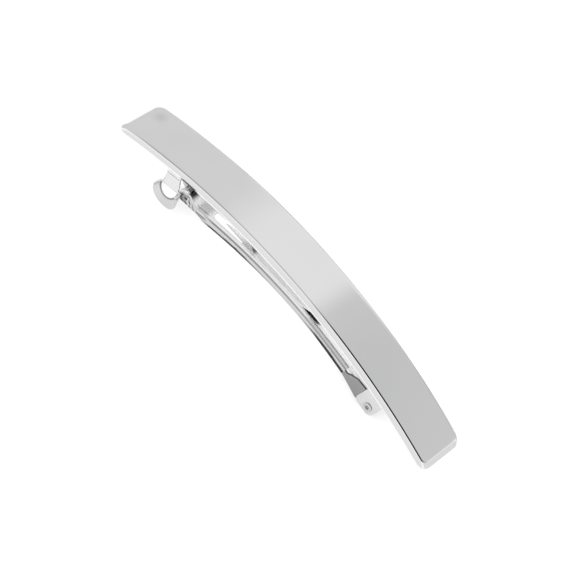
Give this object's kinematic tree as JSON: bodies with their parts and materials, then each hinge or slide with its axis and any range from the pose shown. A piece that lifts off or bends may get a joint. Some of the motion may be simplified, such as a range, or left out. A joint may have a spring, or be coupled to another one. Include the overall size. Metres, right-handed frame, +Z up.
{
  "type": "hair barrette",
  "caption": "Long bowed rectangular metal barrette on a spring clip, with a hinged tongue, a tension bar and pinch pads.",
  "frame": {"origin": "middle of the ground that the barrette covers as it rests on its pads and ears", "axes": "+X along the barrette towards the hinge, +Z up"},
  "size_m": [0.0896, 0.0124, 0.0148],
  "materials": {
    "polished_plate": "polished silver-tone metal with a faint satin haze",
    "clip_metal": "bright nickel-plated stamped steel",
    "spring_metal": "bright spring steel strip",
    "pin_metal": "peened steel pin"
  },
  "bodies": {
    "barrette": {"plate": "polished_plate", "base": "clip_metal", "tension_bar": "spring_metal", "hinge_pin": "pin_metal"},
    "tongue": {"tongue": "clip_metal"}
  },
  "joints": [
    {"name": "tongue_hinge", "type": "hinge", "parent": "barrette", "child": "tongue", "pos_m": [0.02792, 0, 0.0018], "axis": [0, -1, 0], "range_deg": [0, 100]}
  ]
}
